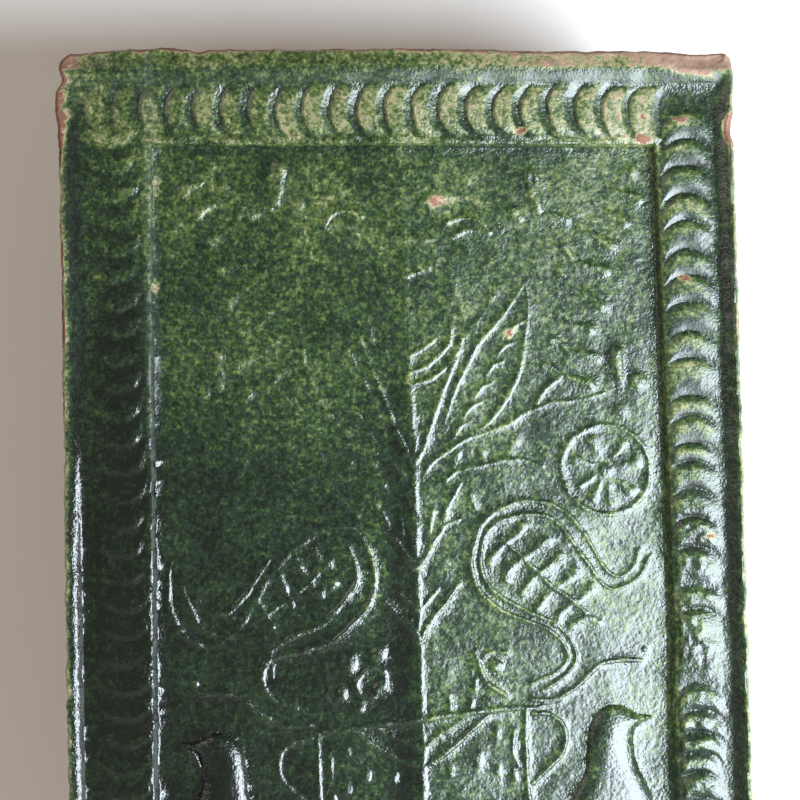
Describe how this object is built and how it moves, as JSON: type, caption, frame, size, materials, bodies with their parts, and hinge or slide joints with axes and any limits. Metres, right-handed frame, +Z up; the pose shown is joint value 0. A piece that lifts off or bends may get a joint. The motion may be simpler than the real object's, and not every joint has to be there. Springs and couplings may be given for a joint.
{
  "type": "stove tile",
  "caption": "Rectangular relief stove tile with a moulded frame, a sunk panel of flowers and birds, and a hollow open-backed collar that is built into the stove wall.",
  "frame": {"origin": "middle of the lower wall of the rump, on the flat back rim that beds into the stove", "axes": "+X to the right as one faces the tile, +Y from the relief into the stove, +Z up along the tile's height"},
  "size_m": [0.2098, 0.0704, 0.3007],
  "materials": {
    "green_glaze": "gloss"
  },
  "bodies": {
    "root": {"stove_tile": "green_glaze"}
  },
  "joints": []
}
